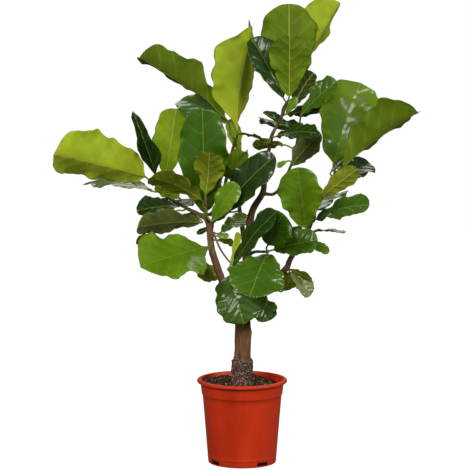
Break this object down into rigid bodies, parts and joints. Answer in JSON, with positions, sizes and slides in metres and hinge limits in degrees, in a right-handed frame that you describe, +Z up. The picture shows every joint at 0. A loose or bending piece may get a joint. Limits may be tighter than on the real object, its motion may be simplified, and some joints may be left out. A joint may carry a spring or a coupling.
{
  "type": "potted fiddle leaf fig",
  "caption": "Branching fiddle leaf fig with broad glossy leaves on three limbs, planted in soil in a plain round nursery pot with a rolled lip and drain slots.",
  "frame": {"origin": "centre of the pot's flat underside, on the surface that the pot stands on", "axes": "+Z is up along the trunk, -Y is the front, +X is to the right seen from the front"},
  "size_m": [0.9596, 0.588, 1.2307],
  "materials": {
    "terracotta": "satin",
    "soil": "matte",
    "bark": "matte",
    "green_stem": "satin",
    "leaf": "gloss"
  },
  "bodies": {
    "root": {"pot": "terracotta", "soil": "soil", "trunk": "bark", "limb_left": "bark", "limb_right": "bark", "limb_back": "bark", "shoot_left": "green_stem", "shoot_upright": "bark", "twig_upper": "bark", "twig_front": "bark", "twig_low": "bark", "leaf_far_left": "leaf", "leaf_far_left_low": "leaf", "leaf_far_left_curled": "leaf", "leaf_left_pale": "leaf", "leaf_left_dark": "leaf", "leaf_left_edge": "leaf", "leaf_left_striped": "leaf", "leaf_left_shaded": "leaf", "leaf_left_front": "leaf", "leaf_left_inner": "leaf", "leaf_center_dark": "leaf", "leaf_center_glossy": "leaf", "leaf_left_back": "leaf", "leaf_center_olive": "leaf", "leaf_center_striped": "leaf", "leaf_tall_pale": "leaf", "leaf_upper_left": "leaf", "leaf_upper_left_back": "leaf", "leaf_back_high": "leaf", "leaf_back_left": "leaf", "leaf_back_right": "leaf", "leaf_center_slanted": "leaf", "leaf_center_hanging": "leaf", "leaf_front_glossy": "leaf", "leaf_front_crinkled": "leaf", "leaf_front_right": "leaf", "leaf_low_dark": "leaf", "leaf_center_folded": "leaf", "leaf_upper_wavy": "leaf", "leaf_upper_dark": "leaf", "leaf_upper_shaded": "leaf", "leaf_top_back": "leaf", "leaf_top_front": "leaf", "leaf_top_narrow": "leaf", "leaf_top_behind": "leaf", "leaf_top_right": "leaf", "leaf_upper_pointed": "leaf", "leaf_upper_olive": "leaf", "leaf_right_grey": "leaf", "leaf_back_top": "leaf", "leaf_right_low": "leaf", "leaf_right_center": "leaf", "leaf_right_curly": "leaf", "leaf_right_side": "leaf", "leaf_right_back": "leaf", "leaf_right_olive": "leaf", "leaf_right_shaded": "leaf", "leaf_right_round": "leaf", "leaf_right_far": "leaf"}
  },
  "joints": []
}
